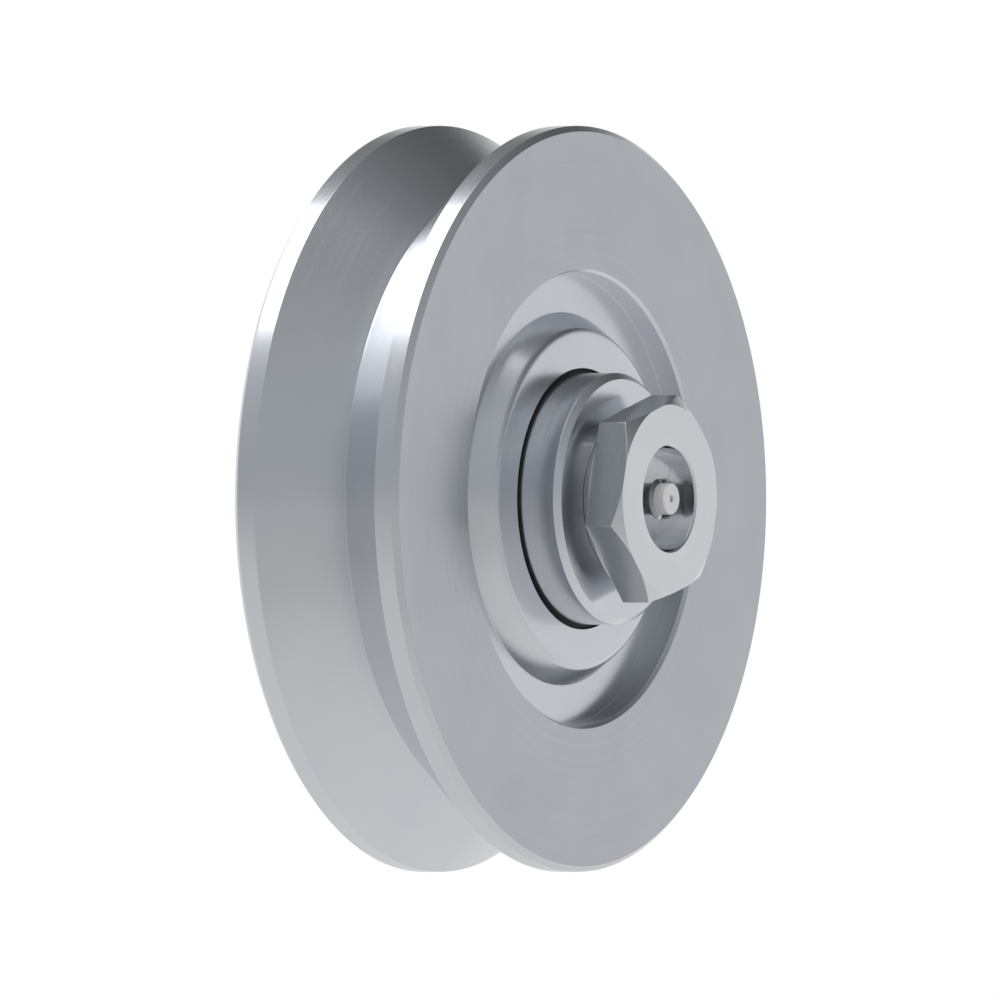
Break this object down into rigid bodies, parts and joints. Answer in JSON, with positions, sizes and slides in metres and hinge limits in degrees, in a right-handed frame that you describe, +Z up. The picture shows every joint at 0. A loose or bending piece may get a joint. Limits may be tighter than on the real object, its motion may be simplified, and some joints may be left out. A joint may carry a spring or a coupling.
{
  "type": "v groove wheel",
  "caption": "Turned steel V groove wheel on sealed ball bearings, with spacers and a hexagon head axle bolt that has a grease nipple and a threaded end.",
  "frame": {"origin": "the wheel's centre: on its axis, midway between its two outer faces", "axes": "+Y along the axle from its hexagon head to its threaded end, and the wheel spins about it; +Z up; +X completes the right-handed frame, along the rail"},
  "size_m": [0.12, 0.0742, 0.12],
  "materials": {
    "wheel_steel": "turned and zinc plated, satin",
    "axle_steel": "turned and zinc plated, satin",
    "spacer_steel": "turned and zinc plated, satin",
    "bearing_steel": "ground bearing steel",
    "shield_steel": "pressed bright sheet",
    "cage_plastic": "moulded, matt",
    "seal_rubber": "moulded, matt black",
    "clip_steel": "phosphated spring steel",
    "nipple_steel": "bright plated",
    "spring_steel": "drawn wire"
  },
  "bodies": {
    "axle": {"axle_bolt": "axle_steel", "front_spacer": "spacer_steel", "rear_spacer": "spacer_steel", "bearing_distance_tube": "axle_steel", "front_bearing_inner_ring": "bearing_steel", "rear_bearing_inner_ring": "bearing_steel", "front_dust_seal": "seal_rubber", "rear_dust_seal": "seal_rubber", "axle_circlip": "clip_steel", "grease_nipple": "nipple_steel", "nipple_spring": "spring_steel"},
    "wheel": {"wheel_body": "wheel_steel", "front_bearing_outer_ring": "bearing_steel", "rear_bearing_outer_ring": "bearing_steel", "front_bearing_shield": "shield_steel", "rear_bearing_shield": "shield_steel"},
    "front_ball_set": {"front_bearing_cage": "cage_plastic", "front_ball_01": "bearing_steel", "front_ball_02": "bearing_steel", "front_ball_03": "bearing_steel", "front_ball_04": "bearing_steel", "front_ball_05": "bearing_steel", "front_ball_06": "bearing_steel", "front_ball_07": "bearing_steel", "front_ball_08": "bearing_steel", "front_ball_09": "bearing_steel", "front_ball_10": "bearing_steel"},
    "rear_ball_set": {"rear_bearing_cage": "cage_plastic", "rear_ball_01": "bearing_steel", "rear_ball_02": "bearing_steel", "rear_ball_03": "bearing_steel", "rear_ball_04": "bearing_steel", "rear_ball_05": "bearing_steel", "rear_ball_06": "bearing_steel", "rear_ball_07": "bearing_steel", "rear_ball_08": "bearing_steel", "rear_ball_09": "bearing_steel", "rear_ball_10": "bearing_steel"},
    "nipple_ball": {"nipple_check_ball": "bearing_steel"}
  },
  "joints": [
    {"name": "wheel_spin", "type": "hinge", "parent": "axle", "child": "wheel", "pos_m": [0, 0, 0], "axis": [0, 1, 0], "continuous": true},
    {"name": "front_cage_spin", "type": "hinge", "parent": "axle", "child": "front_ball_set", "pos_m": [0, -0.008, 0], "axis": [0, 1, 0], "continuous": true},
    {"name": "rear_cage_spin", "type": "hinge", "parent": "axle", "child": "rear_ball_set", "pos_m": [0, 0.008, 0], "axis": [0, 1, 0], "continuous": true},
    {"name": "check_ball_slide", "type": "slide", "parent": "axle", "child": "nipple_ball", "axis": [0, 1, 0], "range_m": [0, 0.0006], "stiffness_N_per_m": 300, "springref_m": -0.0011, "deforming": ["nipple_spring"]}
  ],
  "couplings": [
    {"joint": "front_cage_spin", "follows": "wheel_spin", "ratio": 0.57681},
    {"joint": "rear_cage_spin", "follows": "wheel_spin", "ratio": 0.57681}
  ]
}
